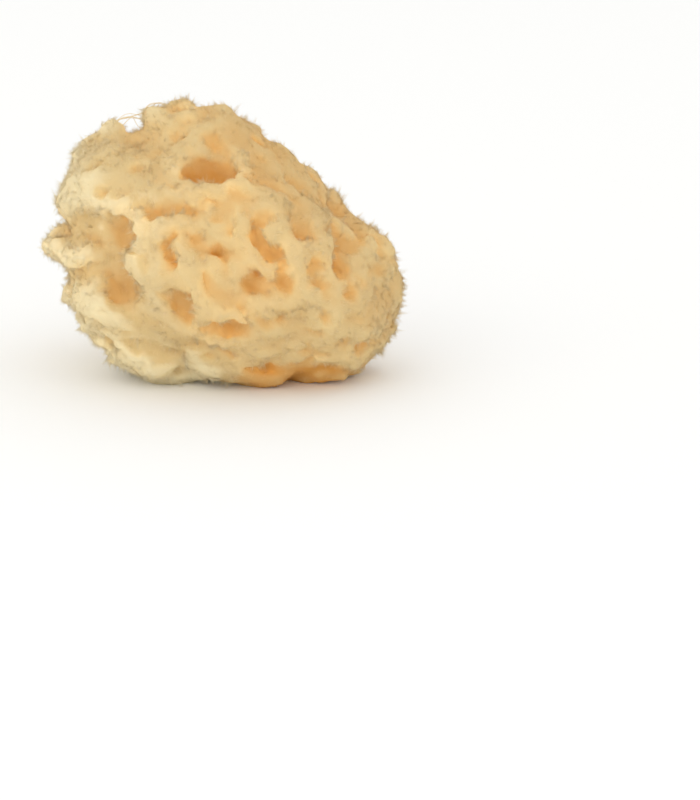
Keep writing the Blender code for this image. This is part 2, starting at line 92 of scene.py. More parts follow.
# The hollows that show in front, as the eye sees them: across and up from the foot's middle, half width,
# half height, depth, turn in degrees, and how far it slants across and up as it goes in.
FRONT_HOLLOWS = {
    "mouth": (-4.4, 62.4, 10.0, 4.9, 8.0, 4, 0.2, -0.2),
    "mouth_corner": (1.6, 63.4, 3.6, 4.4, 6.0, 0, 0.2, -0.1),
    "mouth_roof": (-1.6, 73.0, 5.2, 6.2, 4.0, 0, 0.2, -0.1),
    "mouth_lip": (-9.0, 57.6, 5.5, 1.8, 2.0, -8, 0, -0.3),
    "crown_fold": (-16.5, 73.6, 4.4, 2.4, 2.4, 12, 0, 0.2),
    "crown_nick": (-14.0, 77.8, 4.2, 1.7, 1.8, 5, 0, 0.2),
    "crown_wave": (-9.5, 71.0, 3.4, 4.6, 1.8, 25, 0.3, 0),
    "left_eye": (-39.0, 56.0, 2.3, 3.0, 2.8, 0, 0.3, 0),
    "left_fold": (-41.5, 64.6, 4.6, 2.0, 2.4, 10, 0, 0.3),
    "left_light": (-28.2, 62.6, 3.0, 2.6, 3.0, 0, 0.2, 0.2),
    "left_crease": (-23.4, 67.4, 4.2, 1.5, 1.9, 25, 0, 0.3),
    "left_wave": (-33.5, 68.5, 4.6, 1.4, 1.6, 15, 0, 0.3),
    "brow_fold": (-18.2, 49.4, 9.6, 4.2, 4.2, 5, 0.1, -0.05),
    "brow_drop": (-23.8, 46.6, 3.0, 4.6, 3.8, -30, 0.1, -0.1),
    "brow_band": (-10.5, 54.0, 7.0, 1.6, 1.6, -6, 0, -0.3),
    "temple": (-16.4, 56.2, 1.7, 2.2, 2.6, 10, 0.2, 0),
    "cheek_left": (-34.4, 42.6, 7.2, 5.8, 5.2, 8, 0.2, 0.05),
    "cheek_groove": (-43.0, 42.2, 5.2, 1.9, 2.6, -20, 0.3, 0),
    "left_gap": (-38.8, 39.8, 1.6, 0.6, 3.0, -10, 0, 0),
    "left_hook": (-41.6, 35.8, 1.7, 3.2, 3.0, 25, 0.3, 0),
    "jaw": (-37.0, 33.0, 4.8, 4.0, 4.0, 0, 0.3, 0.1),
    "cheek_low": (-33.2, 25.4, 5.6, 5.6, 5.2, 20, 0.5, 0.1),
    "left_nick": (-28.2, 35.2, 3.4, 1.8, 2.6, 0, 0, 0.3),
    "left_seam": (-26.6, 30.4, 1.5, 3.6, 2.0, 0, 0.2, 0),
    "ring_top": (-16.6, 43.8, 3.0, 1.6, 2.6, 6, 0, 0.2),
    "ring_upper": (-16.6, 40.8, 3.1, 2.3, 4.2, 0, 0, 0),
    "ring_lower": (-16.8, 33.8, 3.2, 3.8, 5.4, 10, 0, 0),
    "ring_side": (-13.0, 30.6, 2.2, 1.9, 3.0, 15, 0.2, 0),
    "ring_shade": (-10.2, 41.4, 2.6, 1.8, 1.8, -20, 0, 0),
    "dimple": (-2.5, 35.9, 3.0, 2.4, 5.0, -8, -0.1, -0.1),
    "dimple_side": (1.8, 37.6, 2.4, 2.0, 1.2, 20, 0, 0),
    "tall_oval": (-6.2, 29.0, 3.0, 4.9, 1.1, -4, 0, 0),
    "glabella": (-2.2, 47.6, 1.7, 2.2, 2.2, 0, 0, -0.1),
    "bridge_nick": (-1.2, 52.6, 1.8, 2.2, 1.5, 10, 0, 0),
    "small_slit": (1.8, 43.8, 1.1, 2.1, 2.6, 0, 0, 0),
    "soft_centre": (1.5, 30.5, 3.4, 4.0, 0.8, 0, 0, 0),
    "shade_top": (9.0, 45.2, 3.0, 2.0, 4.6, 8, -0.1, 0.2),
    "shade_shelf": (13.0, 48.8, 3.8, 2.3, 2.8, 18, 0, -0.2),
    "shelf_dent": (6.6, 54.4, 2.6, 1.9, 1.4, -15, 0, 0),
    "web_left": (9.8, 38.8, 3.8, 6.0, 4.6, 22, 0.2, 0),
    "web_middle": (14.6, 35.2, 3.9, 2.9, 5.2, 15, 0.1, -0.1),
    "web_low": (18.8, 32.8, 1.8, 2.2, 3.4, 30, 0.1, -0.2),
    "web_top": (17.4, 38.8, 3.0, 1.7, 3.2, 35, 0, 0.2),
    "slant": (24.4, 40.4, 4.6, 4.0, 3.0, 30, 0, 0),
    "slant_shade": (23.8, 44.6, 3.0, 1.5, 0.8, -10, 0, 0.1),
    "big_right": (37.0, 41.2, 6.8, 5.0, 7.6, 0, 0, 0.1),
    "right_tail": (36.7, 33.4, 3.8, 5.2, 6.4, 8, 0, 0),
    "round_right": (28.9, 33.5, 3.6, 3.4, 2.8, 0, 0, 0),
    "round_left": (10.2, 26.2, 3.6, 3.9, 4.6, 0, -0.35, 0),
    "round_pit": (10.6, 28.8, 1.9, 1.5, 6.4, 20, 0, 0.1),
    "round_twin": (17.6, 26.4, 3.2, 3.3, 4.4, 0, 0.2, -0.1),
    "round_bud": (16.8, 30.0, 1.4, 1.6, 4.2, 0, 0, 0),
    "shelf_crease": (18.5, 21.2, 4.4, 1.1, 2.2, 8, 0, 0.3),
    "shelf_crease_end": (25.4, 23.6, 3.0, 1.0, 2.0, 42, 0, 0.3),
    "tan_right": (30.8, 26.4, 4.4, 2.8, 1.8, 22, 0, 0.1),
    "far_right": (40.2, 23.2, 2.6, 2.9, 5.0, 0, 0, 0.2),
    "far_soft": (43.0, 28.8, 2.8, 2.6, 1.2, 0, 0, 0),
    "bump_dent": (44.4, 42.2, 1.7, 2.6, 1.8, 0, 0, 0),
    "edge_right": (50.0, 32.0, 2.0, 3.4, 2.2, 0, 0, 0),
    "slot_left": (-13.4, 18.4, 4.6, 4.9, 5.0, 22, 0.1, 0.1),
    "slot_notch": (-18.0, 21.8, 2.4, 1.5, 3.4, -20, 0.3, 0),
    "slot": (-0.2, 11.4, 9.8, 3.7, 5.6, 2, 0, 0),
    "slot_end": (-8.6, 11.4, 2.4, 1.4, 2.4, 0, 0.2, 0),
    "pin": (18.3, 15.6, 1.3, 2.0, 3.4, 0, 0, 0),
    "chip": (13.4, 13.6, 3.6, 1.9, 2.2, 20, 0, 0.2),
    "soft_low": (6.0, 20.0, 2.4, 4.0, 1.1, 0, 0, 0),
    "low_right": (32.6, 14.4, 2.6, 3.2, 2.8, 10, 0, 0.3),
    "low_groove": (28.6, 9.8, 3.6, 1.5, 2.0, 0, 0, 0.2),
    "low_gully": (28.0, 5.0, 3.8, 3.0, 2.2, -20, 0, 0.2),
    "low_furrow": (38.0, 5.4, 1.9, 4.0, 2.4, 0, 0.2, 0),
    "low_far": (45.0, 12.8, 3.0, 2.2, 2.0, 0, 0, 0.2),
    "far_furrow": (49.0, 16.4, 1.7, 4.0, 2.2, -8, 0, 0),
    "chin_pit": (-0.6, 4.0, 2.6, 1.5, 2.6, 0, 0, 0.2),
    "chin_line": (-7.6, 1.6, 4.6, 1.3, 1.8, 8, 0, 0.3),
    "chin_soft": (-16.0, 3.4, 3.4, 2.0, 1.8, 20, 0, 0.2),
    "heel_left": (-29.6, 5.0, 2.2, 2.6, 2.2, 0, 0, 0.2),
    "heel_pit": (-31.2, 9.2, 2.0, 1.5, 2.2, 0, 0, 0.2),
    "left_dot": (-24.6, 14.2, 3.4, 1.4, 1.5, -15, 0, 0.2),
    "left_dash": (-39.6, 17.0, 2.8, 1.3, 1.8, 0, 0, 0.3),
    "under_left": (8.2, -2.8, 3.2, 2.2, 4.4, 0, 0, 0.3),
    "under_middle": (14.8, -1.6, 3.8, 2.4, 4.4, 0, 0, 0.3),
    "under_right": (24.4, 0.0, 5.6, 2.4, 4.0, 8, 0, 0.3),
    "slope_shelf": (22.4, 58.2, 4.2, 2.0, 2.8, -15, 0, -0.3),
    "slope_dent": (35.2, 50.2, 6.0, 3.2, 3.6, 5, -0.1, 0),
    "slope_dot": (12.0, 66.2, 1.8, 1.2, 2.0, -30, 0, 0),
    "slope_crease": (9.6, 59.8, 5.6, 1.4, 1.8, -6, 0, -0.3),
}


def swell(x, y, z):
    """How far each point of the lobes is pushed: long, uneven waves of up to 2.5 mm, as it grew."""
    return (
        1.5 * np.sin(0.19 * y + 0.11 * z + 0.4) + 0.9 * np.sin(0.43 * z - 0.2 * y + 1.0),
        1.7 * np.sin(0.16 * x + 0.13 * z + 2.1) + 0.8 * np.sin(0.41 * x + 0.23 * z),
        1.2 * np.sin(0.21 * x - 0.12 * y + 0.7) + 0.9 * np.sin(0.37 * y + 0.31 * x + 2.6),
    )


def wobble(x, y, z):
    """The short waves, up to 0.9 mm, that keep a hollow from being a true egg shape."""
    return (
        0.55 * np.sin(0.9 * y + 0.5 * z) + 0.3 * np.sin(1.7 * z + 0.8),
        0.55 * np.sin(0.8 * z + 0.6 * x + 1.3) + 0.3 * np.sin(1.6 * x),
        0.55 * np.sin(1.0 * x - 0.4 * y + 2.2) + 0.3 * np.sin(1.8 * y + 0.5),
    )


def merged(a, b, blend):
    """The nearer of two surfaces, with the crease between them filled in."""
    crease = np.maximum(blend - np.abs(a - b), 0) / blend
    return np.minimum(a, b) - crease * crease * blend / 4


def egg(u, v, w, half_sizes):
    """About how far a point is outside an egg shape with these half sizes, negative inside."""
    a, b, c = half_sizes
    level = np.sqrt((u / a) ** 2 + (v / b) ** 2 + (w / c) ** 2) + 1e-4
    steepness = np.sqrt((u / a**2) ** 2 + (v / b**2) ** 2 + (w / c**2) ** 2) + 1e-5
    return level * (level - 1) / steepness


def lobes_at(x, y, z):
    """How far each point is outside the fused lobes, negative inside."""
    push = swell(x, y, z)
    push = swell(x - push[0], y - push[1], z - push[2])
    x, y, z = x - push[0], y - push[1], z - push[2]
    skin = None
    for middle, half_sizes, lean in LOBES.values():
        cos, sin = math.cos(math.radians(lean)), math.sin(math.radians(lean))
        dx, dy, dz = x - middle[0], y - middle[1], z - middle[2]
        lobe = egg(cos * dx - sin * dz, dy, sin * dx + cos * dz, [half + FUZZ for half in half_sizes])
        skin = lobe if skin is None else merged(skin, lobe, LOBE_BLEND)
    return skin


SIGHT_STEP = 0.25
PROBE = 0.6


def met(start, way, near, far):
    """Where a line first meets the lobes, and the way out of them there, or None."""
    steps = np.arange(near, far, SIGHT_STEP)
    line = np.array(start)[:, None] + np.array(way)[:, None] * steps
    inside = np.flatnonzero(lobes_at(*line) < 0)
    if len(inside) == 0:
        return None, None
    hit = line[:, inside[0]]
    probe = np.repeat(hit[:, None], 6, axis=1)
    probe[:, :3] += np.eye(3) * PROBE
    probe[:, 3:] -= np.eye(3) * PROBE
    around = lobes_at(*probe)
    return Vector(hit), Vector(around[:3] - around[3:]).normalized()


def hollow_frame(inward, turn):
    """Axes of a hollow: its width, its height and the way it goes in, turned about that way."""
    upright = Vector((0, 0, 1))
    width = upright.cross(inward).normalized() if inward.cross(upright).length > 0.1 else Vector((1, 0, 0))
    height = inward.cross(width).normalized()
    width = height.cross(inward).normalized()
    spin = Matrix.Rotation(turn, 3, inward)
    return np.array([spin @ width, spin @ height, inward])


SIGHT_MARGIN = 80


def seen_at(across, up):
    """Where the eye, looking across and up from the foot's middle, meets the lobes, and the way out there."""
    sight_line = (Vector((across, 0, 0)) + SIGHT_UP * up - EYE).normalized()
    return met(EYE, sight_line, EYE_DISTANCE - SIGHT_MARGIN, EYE_DISTANCE + SIGHT_MARGIN)


# A hollow in front goes in between the way the eye looks and straight in, nearer to the first.
ALONG_SIGHT = 1.6

hollows = []
for across, up, half_width, half_height, depth, turn, slant_across, slant_up in FRONT_HOLLOWS.values():
    hit, outward = seen_at(across, up)
    inward = (SIGHT * ALONG_SIGHT - outward).normalized() + Vector((slant_across, 0, 0)) + SIGHT_UP * slant_up
    inward.normalize()
    hollows.append((hit, hollow_frame(inward, -math.radians(turn)), (half_width, half_height, depth)))

# The same honeycomb on the sides, back and top, spread evenly from the middle. Depth and stretch are shares of
# the half width. Hollows near the edge of what shows in front are smaller, and none opens into the flat foot.
SPREAD_FROM = Vector((0, 0, 36))
SPREAD_COUNT = 210
SPREAD_SEED = 11
SPREAD_HALF_WIDTH = (2.5, 5.0)
SPREAD_STRETCH = (0.75, 1.5)
SPREAD_DEPTH = (0.9, 1.7)
WALL_LEAST = 0.9
FRONT_FACING = 0.5
EDGE_FACING = 0.2
EDGE_SHARE = 0.55
HEEL_SPOT = 9.0
HEEL_HEIGHT = 6
SPREAD_LEAN = 0.35
SPREAD_REACH = 90
ROOM_LEAST = 0.55

chance = random.Random(SPREAD_SEED)
golden_angle = math.pi * (3 - math.sqrt(5))
for step in range(SPREAD_COUNT):
    rise = 1 - 2 * (step + 0.5) / SPREAD_COUNT
    reach = math.sqrt(1 - rise * rise)
    half_width = chance.uniform(*SPREAD_HALF_WIDTH)
    half_height = half_width * chance.uniform(*SPREAD_STRETCH)
    depth = half_width * chance.uniform(*SPREAD_DEPTH)
    turn = chance.uniform(0, math.pi)
    lean = Vector([chance.uniform(-SPREAD_LEAN, SPREAD_LEAN) for _ in range(3)])
    angle = golden_angle * step
    way = Vector((reach * math.cos(angle), reach * math.sin(angle), rise))
    hit, outward = met(SPREAD_FROM + way * SPREAD_REACH, -way, 0, SPREAD_REACH)
    if hit is None or outward.dot(SIGHT) < -FRONT_FACING:
        continue
    if outward.dot(SIGHT) < EDGE_FACING:
        half_width, half_height, depth = (EDGE_SHARE * size for size in (half_width, half_height, depth))
    if hit.z < HEEL_HEIGHT and hit.xy.length < HEEL_SPOT + half_width:
        continue
    size = math.sqrt(half_width * half_height)
    room = min((hit - other).length - WALL_LEAST - math.sqrt(s[0] * s[1]) for other, _, s in hollows)
    if room < ROOM_LEAST * size:
        continue
    half_width *= min(1, room / size)
    half_height *= min(1, room / size)
    inward = (lean - outward).normalized()
    hollows.append((hit, hollow_frame(inward, turn), (half_width, half_height, depth)))

# The flesh is worked out on a grid of points this far apart, with room around the lobes.
GRAIN = 0.45
ROOM = 5
BELOW_FOOT = 4 * GRAIN

middles = np.array([lobe[0] for lobe in LOBES.values()])
half_sizes = np.array([lobe[1] for lobe in LOBES.values()])
low_corner = (middles - half_sizes).min(axis=0) - ROOM
high_corner = (middles + half_sizes).max(axis=0) + ROOM
low_corner[2] = -BELOW_FOOT
counts = np.ceil((high_corner - low_corner) / GRAIN).astype(int)
columns = [
    (low_corner[k] + GRAIN * np.arange(counts[k]))
    .astype(np.float32)
    .reshape([-1 if k == j else 1 for j in range(3)])
    for k in range(3)
]

# The noise is a spline through random heights, which would leave it too flat without this gain.
NOISE_GAIN = 2.2


def lattice_noise(cell, seed):
    """Smooth lumps of about this size along x, y and z, from -1 to 1, all over the grid."""
    lumps = np.random.default_rng(seed)
    weights = []
    for k in range(3):
        place = np.arange(counts[k]) * GRAIN / cell[k]
        whole = place.astype(int)
        part = place - whole
        spread = np.zeros((counts[k], whole[-1] + 4), np.float32)
        spline = (
            (1 - part) ** 3 / 6,
            (3 * part**3 - 6 * part**2 + 4) / 6,
            (-3 * part**3 + 3 * part**2 + 3 * part + 1) / 6,
            part**3 / 6,
        )
        for j, weight in enumerate(spline):
            spread[np.arange(counts[k]), whole + j] = weight
        weights.append(spread)
    lattice = lumps.uniform(-1, 1, [w.shape[1] for w in weights]).astype(np.float32)
    noise = np.tensordot(weights[0], lattice, (1, 0))
    noise = np.tensordot(noise, weights[1], (1, 1))
    noise = np.tensordot(noise, weights[2], (1, 1))
    return noise * NOISE_GAIN


def at_points(grid, points):
    """The grid's values at points, between its steps."""
    place = np.clip((points - low_corner) / GRAIN, 0, np.array(grid.shape) - 1.001)
    whole = place.astype(int)
    part = place - whole
    value = 0
    for dx, dy, dz in np.ndindex(2, 2, 2):
        weight = np.prod(np.where((dx, dy, dz), part, 1 - part), axis=1)
        value = value + weight * grid[whole[:, 0] + dx, whole[:, 1] + dy, whole[:, 2] + dz]
    return value


skin = lobes_at(*columns).astype(np.float32)
push = wobble(*columns)
wobbled = [(columns[k] - push[k]).astype(np.float32) for k in range(3)]
flesh = skin + SKIN_BELOW

# A hollow is an egg shape sunk by a share of its depth, and its rim is rounded by a share of its least size.
EGG_SUNK = 0.25
RIM_SHARE = 0.9
RIM_LIMITS = (1.4, 4.5)
WOBBLE_ROOM = 1.5

for mouth, axes, sizes in hollows:
    middle = np.array(mouth) + axes[2] * EGG_SUNK * sizes[2]
    rim = min(max(RIM_SHARE * min(sizes), RIM_LIMITS[0]), RIM_LIMITS[1])
    reach = max(sizes) + rim + WOBBLE_ROOM
    first = np.maximum(((middle - reach - low_corner) / GRAIN).astype(int), 0)
    last = np.minimum(((middle + reach - low_corner) / GRAIN).astype(int) + 1, counts)
    if (last <= first).any():
        continue
    window = tuple(slice(a, b) for a, b in zip(first, last))
    offset = [wobbled[k][window] - middle[k] for k in range(3)]
    along = [sum(axis[k] * offset[k] for k in range(3)).astype(np.float32) for axis in axes]
    hollow = egg(*along, sizes)
    flesh[window] = -merged(-flesh[window], hollow, rim)

# The ridges grown across and between the hollows: half width, then the points across and up that each runs through.
RIDGES = {
    "arch": (1.5, ((-23.4, 35.5), (-22.7, 41.4), (-19.6, 45.2), (-14.9, 46.6), (-10.8, 46.2), (-7.6, 44.0))),
    "bar": (2.0, ((-13.4, 41.6), (-12.4, 37.4), (-10.2, 33.0), (-9.4, 27.0))),
    "oval_rim": (0.35, ((-8.7, 30.4), (-8.0, 32.8), (-5.9, 33.7), (-3.7, 32.6), (-2.9, 28.6))),
    "cheek_rim": (1.3, ((-34.5, 49.6), (-29.2, 48.8), (-26.4, 45.0), (-26.2, 40.6), (-27.8, 37.0))),
    "nose": (1.1, ((3.8, 51.0), (4.2, 45.6), (5.0, 40.4), (7.8, 35.2), (11.2, 31.8), (13.8, 28.8))),
    "web_tongue": (1.6, ((18.8, 46.2), (17.0, 43.0), (15.2, 41.0))),
    "web_side": (1.3, ((18.8, 44.0), (20.8, 39.6), (23.4, 36.2), (24.8, 32.4))),
    "slant_side": (1.7, ((28.6, 46.4), (30.0, 41.6), (31.2, 37.6), (32.4, 32.6))),
    "right_rim": (1.2, ((45.6, 44.4), (46.0, 40.0), (44.6, 35.0), (42.6, 29.6))),
    "round_rim": (0.8, ((25.0, 35.4), (26.6, 37.8), (30.0, 38.2), (32.2, 35.4))),
    "brow": (1.3, ((-35.0, 51.6), (-27.5, 53.6), (-20.4, 55.4), (-15.3, 54.8), (-9.4, 52.4))),
    "lip": (1.2, ((-15.0, 57.4), (-7.0, 56.0), (-1.0, 56.4), (4.4, 58.6))),
    "mouth_side": (1.2, ((4.6, 69.0), (6.2, 64.4), (5.4, 59.6))),
    "shelf": (2.2, ((9.0, 19.6), (15.0, 18.8), (21.4, 19.4), (26.6, 22.2), (31.0, 22.6))),
    "slot_bridge": (1.2, ((-8.2, 22.6), (-7.6, 17.4), (-9.8, 12.4))),
    "slot_roof": (0.9, ((-8.4, 15.8), (-2.0, 16.4), (4.0, 15.6), (9.4, 13.4))),
    "slot_sill": (0.8, ((-8.0, 7.4), (0.0, 6.7), (8.0, 7.2))),
}
RIDGE_SUNK = 1.1
RIDGE_TAPER = 0.6
RIDGE_BLEND = 3.0

courses = []
for half_width, course in RIDGES.values():
    places = []
    for across, up in course:
        hit, outward = seen_at(across, up)
        places.append(np.array(hit - outward * (RIDGE_SUNK * half_width)))
    courses.append((half_width, places))

for half_width, places in courses:
    whole = sum(np.linalg.norm(b - a) for a, b in zip(places, places[1:]))
    gone = 0
    for start, end in zip(places, places[1:]):
        reach = half_width + RIDGE_BLEND + WOBBLE_ROOM
        first = np.maximum(((np.minimum(start, end) - reach - low_corner) / GRAIN).astype(int), 0)
        last = np.minimum(((np.maximum(start, end) + reach - low_corner) / GRAIN).astype(int) + 1, counts)
        window = tuple(slice(a, b) for a, b in zip(first, last))
        way = end - start
        length = np.linalg.norm(way)
        offset = [wobbled[k][window] - start[k] for k in range(3)]
        along = np.clip(sum(way[k] * offset[k] for k in range(3)) / length**2, 0, 1)
        off = np.sqrt(sum((offset[k] - along * way[k]) ** 2 for k in range(3)))
        middling = 1 - np.abs(2 * (gone + along * length) / whole - 1)
        ridge = off - half_width * np.minimum(1, RIDGE_TAPER + middling)
        flesh[window] = merged(flesh[window], ridge, RIDGE_BLEND)
        gone += length
del wobbled, push


def blurred(grid, half_width):
    """The grid with every value spread this many millimetres around it."""
    steps = max(1, round(half_width / GRAIN / 2))
    for _ in range(2):
        for k in range(3):
            filled = np.pad(grid, [(steps + 1, steps) if j == k else (0, 0) for j in range(3)], mode="edge")
            total = np.cumsum(filled, axis=k, dtype=np.float64).astype(np.float32)
            above = np.take(total, range(2 * steps + 1, total.shape[k]), axis=k)
            below = np.take(total, range(total.shape[k] - 2 * steps - 1), axis=k)
            grid = (above - below) / (2 * steps + 1)
    return grid


# The fibres round off every rim: most of the way to the flesh spread over this width.
SOFTENED = 0.6
SOFTENED_WIDTH = 1.8

flesh += SOFTENED * (blurred(flesh, SOFTENED_WIDTH) - flesh)

# Small pores and lumps: height, then size along x, y and z. The walls of the hollows are smoother than the
# ridges between them, and shaggy ledges run round the sponge low down.
LUMPS = ((0.42, (4.6, 4.6, 3.6)), (0.3, (2.0, 2.0, 1.4)), (0.15, (1.2, 1.2, 1.0)))
LEDGE_HEIGHT = 1.3
LEDGE_SIZE = (5.0, 5.0, 1.7)
LEDGES_BELOW = 24
LEDGES_FADE = 10
WALL_FROM = 1.5
WALL_FADE = 4
WALL_SMOOTHNESS = 0.65

rough = 1 - WALL_SMOOTHNESS * np.clip((-skin - WALL_FROM) / WALL_FADE, 0, 1)
for seed, (lump_height, lump_size) in enumerate(LUMPS, 1):
    flesh += rough * lump_height * lattice_noise(lump_size, seed)
low_down = np.clip((LEDGES_BELOW - columns[2]) / LEDGES_FADE, 0, 1)
flesh += rough * low_down * LEDGE_HEIGHT * lattice_noise(LEDGE_SIZE, len(LUMPS) + 1)
flesh = np.maximum(flesh, -columns[2])

# Painted shade and painted light: a point is painted amber where the flesh crowds around it, as shade falls in
# recesses, and pale cream where it stands out. Both are measured within these distances.
CROWD_NEAR = 2.2
CROWD_WIDE = 6.0

filled = (flesh < 0).astype(np.float32)
crowded_near = blurred(filled, CROWD_NEAR)
crowded_wide = blurred(filled, CROWD_WIDE)
del filled

BAND = 3
volume = openvdb.FloatGrid(float(BAND))
volume.copyFromArray(np.clip(flesh, -BAND, BAND).astype(np.float32))
points, triangles, quads = volume.convertToPolygons(isovalue=0)
points = np.asarray(points) * GRAIN + low_corner
quads = np.asarray(quads)
faces = np.concatenate((quads[:, [0, 1, 2]], quads[:, [0, 2, 3]], np.asarray(triangles).reshape(-1, 3)))


def largest_piece(points, faces):
    """Only the biggest connected piece, without the crumbs that carving left loose."""
    group = np.arange(len(points))
    while True:
        lower = group.copy()
        for a, b in ((0, 1), (1, 2), (2, 0)):
            np.minimum.at(lower, faces[:, a], group[faces[:, b]])
            np.minimum.at(lower, faces[:, b], group[faces[:, a]])
        lower = lower[lower]
        if (lower == group).all():
            break
        group = lower
    biggest = np.bincount(group).argmax()
    kept = group == biggest
    place = np.cumsum(kept) - 1
    return points[kept], place[faces[kept[faces[:, 0]]]]


points, faces = largest_piece(points, faces)
corner = points[faces]
if np.einsum("ij,ij->i", corner[:, 0], np.cross(corner[:, 1], corner[:, 2])).sum() < 0:
    faces = faces[:, ::-1]


def mesh_object(name, points, faces):
    """A mesh of triangles, with its points in millimetres, as an object in the scene."""
    mesh = bpy.data.meshes.new(name)
    mesh.vertices.add(len(points))
    mesh.vertices.foreach_set("co", (np.asarray(points, np.float32) * MM).ravel())
    mesh.loops.add(3 * len(faces))
    mesh.loops.foreach_set("vertex_index", np.asarray(faces, np.int32).ravel())
    mesh.polygons.add(len(faces))
    mesh.polygons.foreach_set("loop_start", np.arange(0, 3 * len(faces), 3, dtype=np.int32))
    mesh.update(calc_edges=True)
    mesh.validate()
    obj = bpy.data.objects.new(name, mesh)
    bpy.context.scene.collection.objects.link(obj)
    return obj


def select_only(obj):
    """The object selected and active, and nothing else."""
    bpy.ops.object.select_all(action="DESELECT")
    obj.select_set(True)
    bpy.context.view_layer.objects.active = obj


BODY_TRIANGLES = 198000

body = mesh_object("sponge_body", points, faces)
select_only(body)
thin = body.modifiers.new("thin", "DECIMATE")
thin.ratio = BODY_TRIANGLES / len(faces)
thin.use_collapse_triangulate = True
bpy.ops.object.modifier_apply(modifier="thin")
bpy.ops.object.shade_smooth()


def corners_of(obj):
    """The object's points in millimetres."""
    flat = np.empty(3 * len(obj.data.vertices), np.float32)
    obj.data.vertices.foreach_get("co", flat)
    return flat.reshape(-1, 3).astype(float) / MM


# How much painted shade each point gets, from about -4, pale cream painted light, to 10, deep amber painted
# shade. Depth below the skin and crowded flesh add painted shade in the hollows, and so does facing up and to the
# right, painted shade on the upper side. It then spreads along the skin. Under the sponge and low on the right
# painted shade is added, and on the left and low down on the left painted light.
DEPTH_WEIGHT = 0.55
CROWD_NEAR_WEIGHT = 6.0
CROWD_WIDE_WEIGHT = 12.0
# Painted shade on faces turned up and to the right.
PAINTED_TOP_SHADE = 2.6
PAINTED_TOP_SHADE_WAY = (0.5, 0.0, 0.86)
GLOW_ROUNDS = 12
# Painted shade on the underside near the floor, more towards the right.
UNDERSIDE_PAINTED_SHADE = 7.0
UNDERSIDE_UP = 10.0
UNDERSIDE_FROM = -12
UNDERSIDE_OVER = 40
# Painted shade low on the right, near the floor.
LOW_RIGHT_SHADE = 6.0
LOW_RIGHT_SHADE_ACROSS = (1, 40)
LOW_RIGHT_SHADE_HEIGHT = 10
LOW_RIGHT_SHADE_FADE = 8
LOW_RIGHT_SHADE_FADE_UP = 4
LEAST_SHELTER = -1
# Painted light on the left, and low down on the left.
PAINTED_LIGHT = 2.4
PAINTED_LIGHT_LEFT_FROM = -5
PAINTED_LIGHT_LEFT_OVER = 35
PAINTED_LIGHT_LOW = 1.2
PAINTED_LIGHT_LOW_HEIGHT = 20
PAINTED_LIGHT_LOW_FADE = 14
PAINTED_LIGHT_LOW_LEFT_OF = 6
PAINTED_LIGHT_LOW_OVER = 10


def faded(value, over):
    """The value as a share of a distance, from 0 to 1."""
    return np.clip(value / over, 0, 1)


body_points = corners_of(body)
body_normals = np.empty(3 * len(body_points), np.float32)
body.data.vertices.foreach_get("normal", body_normals)
body_normals = body_normals.reshape(-1, 3)
painted_shading = np.clip(-at_points(skin, body_points) - SKIN_BELOW, -1, 30)
body_edges = np.empty(2 * len(body.data.edges), np.int32)
body.data.edges.foreach_get("vertices", body_edges)
starts, ends = body_edges.reshape(-1, 2).T
met_edges = np.bincount(body_edges, minlength=len(painted_shading))
crowding = CROWD_NEAR_WEIGHT * (at_points(crowded_near, body_points) - 0.5)
crowding += CROWD_WIDE_WEIGHT * (at_points(crowded_wide, body_points) - 0.5)
# Painted shade from depth and crowding in the hollows, and painted shade on faces turned up and to the right.
painted_shading = DEPTH_WEIGHT * painted_shading + crowding + PAINTED_TOP_SHADE * np.clip(body_normals @ PAINTED_TOP_SHADE_WAY, 0, 1)
for _ in range(GLOW_ROUNDS):
    around = np.bincount(starts, painted_shading[ends], len(painted_shading)) + np.bincount(ends, painted_shading[starts], len(painted_shading))
    painted_shading = (painted_shading + around / met_edges) / 2

across, _, height = body_points.T
# Painted shade low on the right, near the floor.
shaded_low_right = faded(across - LOW_RIGHT_SHADE_ACROSS[0], LOW_RIGHT_SHADE_FADE) * faded(LOW_RIGHT_SHADE_ACROSS[1] - across, LOW_RIGHT_SHADE_FADE)
shaded_low_right *= faded(LOW_RIGHT_SHADE_HEIGHT - height, LOW_RIGHT_SHADE_FADE_UP)
# Painted shade on the underside near the floor, more towards the right.
under = np.clip(-body_normals[:, 2], 0, 1) * np.clip(1 - height / UNDERSIDE_UP, 0, 1)
painted_shading += UNDERSIDE_PAINTED_SHADE * under * faded(across - UNDERSIDE_FROM, UNDERSIDE_OVER) + LOW_RIGHT_SHADE * shaded_low_right
# Painted light on the left, and low down on the left.
painted_light_low = faded(PAINTED_LIGHT_LOW_HEIGHT - height, PAINTED_LIGHT_LOW_FADE)
painted_light_low *= faded(PAINTED_LIGHT_LOW_LEFT_OF - across, PAINTED_LIGHT_LOW_OVER)
painted_light = faded(PAINTED_LIGHT_LEFT_FROM - across, PAINTED_LIGHT_LEFT_OVER) + PAINTED_LIGHT_LOW * painted_light_low
painted_shading = np.maximum(painted_shading, LEAST_SHELTER) - PAINTED_LIGHT * painted_light
painted_shading_attribute = body.data.attributes.new("painted_shading", "FLOAT", "POINT")
painted_shading_attribute.data.foreach_set("value", painted_shading.astype(np.float32))

# The skin is centred in the solid, seen from above.
solid_low, solid_high = (np.array(corner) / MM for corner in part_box("sponge"))
shift = (solid_low + solid_high) / 2 - (body_points.min(axis=0) + body_points.max(axis=0)) / 2
shift[2] = 0
body.data.vertices.foreach_set("co", ((body_points + shift) * MM).astype(np.float32).ravel())
body.data.update()


